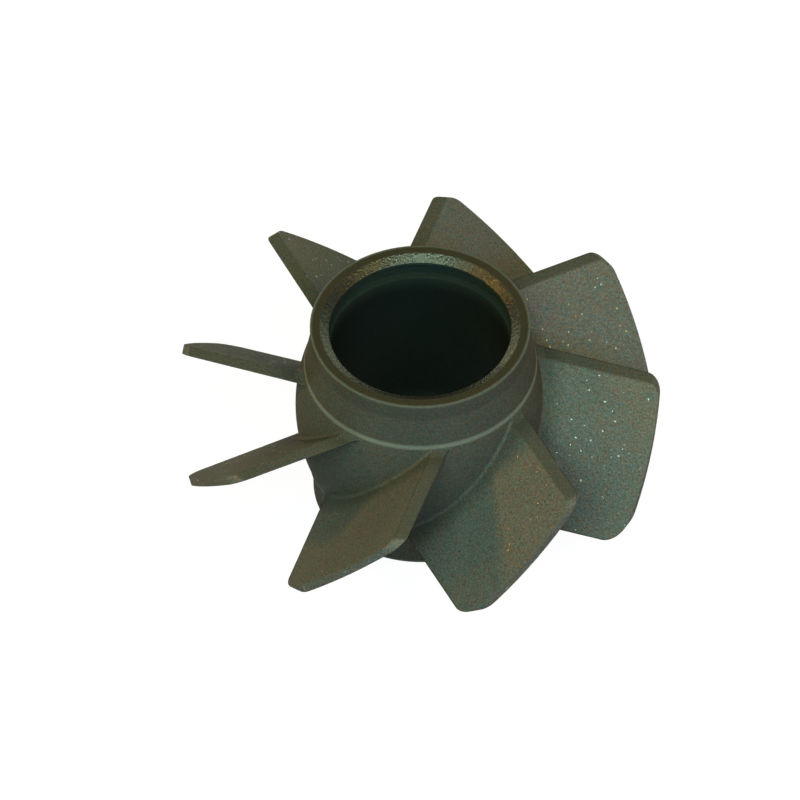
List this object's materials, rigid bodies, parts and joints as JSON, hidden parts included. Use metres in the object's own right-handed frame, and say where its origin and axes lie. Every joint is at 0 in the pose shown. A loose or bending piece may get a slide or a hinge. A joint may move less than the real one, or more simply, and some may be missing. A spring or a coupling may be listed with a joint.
{
  "type": "pump impeller",
  "caption": "Hollow-hub axial pump impeller cast in one piece, with flat slanted blades whose ends are cut level.",
  "frame": {"origin": "centre of the hub's flat bottom rim, on the hub axis", "axes": "+Z along the hub axis, from the bottom rim to the top rim; +X through the middle of the first blade at mid-height; seen from +Z the blades rise counter-clockwise"},
  "size_m": [0.125, 0.125, 0.06],
  "materials": {
    "casting": "bead-blasted casting, dull olive grey"
  },
  "bodies": {
    "root": {"impeller": "casting"}
  },
  "joints": []
}
